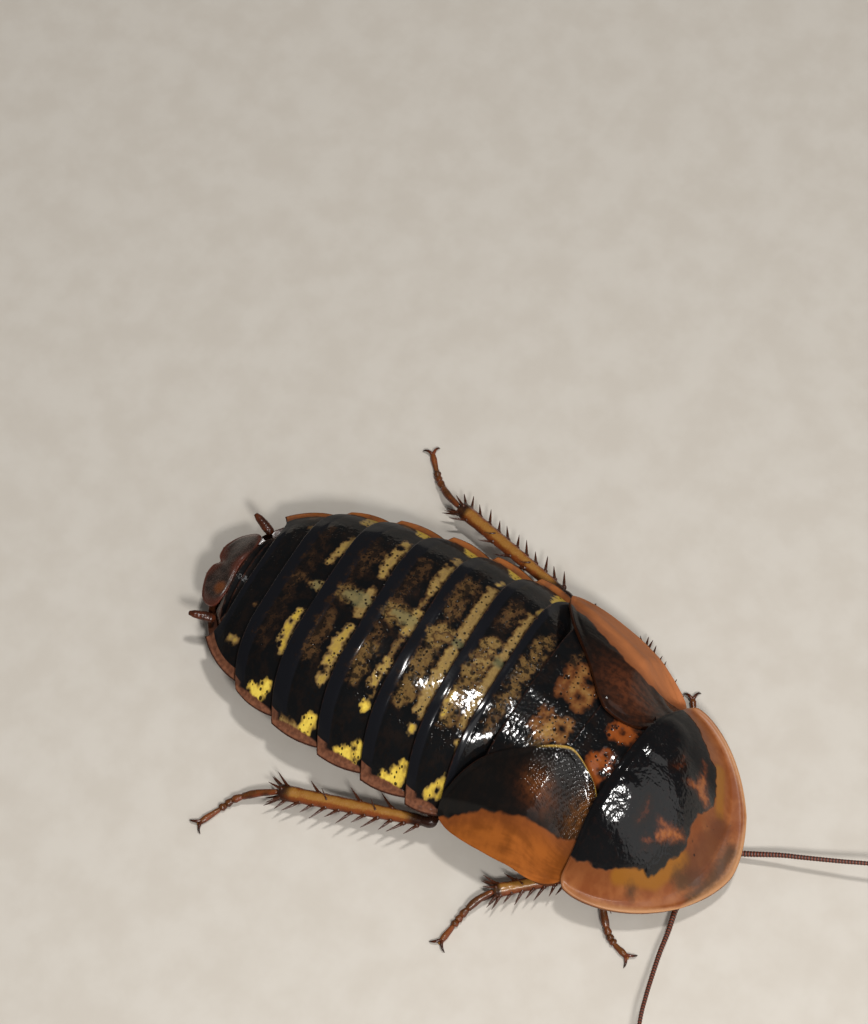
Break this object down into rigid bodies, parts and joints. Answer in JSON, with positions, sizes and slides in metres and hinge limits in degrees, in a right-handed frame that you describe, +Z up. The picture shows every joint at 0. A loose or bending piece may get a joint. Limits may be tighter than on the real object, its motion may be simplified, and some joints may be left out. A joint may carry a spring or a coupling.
{
  "type": "adult female blaptica cockroach, still model",
  "caption": "Life-size still model of a flat, oval cockroach with a broad shield, short wing pads, banded abdomen, spiny legs and long feelers, standing.",
  "frame": {"origin": "centre of the whole model's box, on the floor under the feet", "axes": "+Z up, -Y the way the insect faces, +X its left side"},
  "size_m": [0.0424, 0.0598, 0.0091],
  "materials": {
    "dark_shell": "glossy black-brown shell with yellow bands",
    "amber_rim": "glossy translucent red-brown shell",
    "wing_pad": "glossy dark brown with amber edges",
    "leg_amber": "glossy amber-brown",
    "belly": "satin brown",
    "feeler": "matt dark brown",
    "eye": "glossy black"
  },
  "bodies": {
    "root": {"abdomen": "dark_shell", "antenna_base_left": "feeler", "antenna_base_right": "feeler", "antenna_left": "feeler", "antenna_right": "feeler", "cercus_left": "dark_shell", "cercus_right": "dark_shell", "coxa_front_left": "belly", "coxa_front_right": "belly", "coxa_hind_left": "belly", "coxa_hind_right": "belly", "coxa_mid_left": "belly", "coxa_mid_right": "belly", "eye_left": "eye", "eye_right": "eye", "femur_front_left": "leg_amber", "femur_front_right": "leg_amber", "femur_hind_left": "leg_amber", "femur_hind_right": "leg_amber", "femur_mid_left": "leg_amber", "femur_mid_right": "leg_amber", "head": "dark_shell", "palp_left": "leg_amber", "palp_right": "leg_amber", "pronotum": "dark_shell", "prothorax": "belly", "supraanal_plate": "amber_rim", "tarsus_front_left": "leg_amber", "tarsus_front_right": "leg_amber", "tarsus_hind_left": "leg_amber", "tarsus_hind_right": "leg_amber", "tarsus_mid_left": "leg_amber", "tarsus_mid_right": "leg_amber", "tegmen_left": "wing_pad", "tegmen_right": "wing_pad", "thorax": "dark_shell", "tibia_front_left": "leg_amber", "tibia_front_right": "leg_amber", "tibia_hind_left": "leg_amber", "tibia_hind_right": "leg_amber", "tibia_mid_left": "leg_amber", "tibia_mid_right": "leg_amber"}
  },
  "joints": []
}
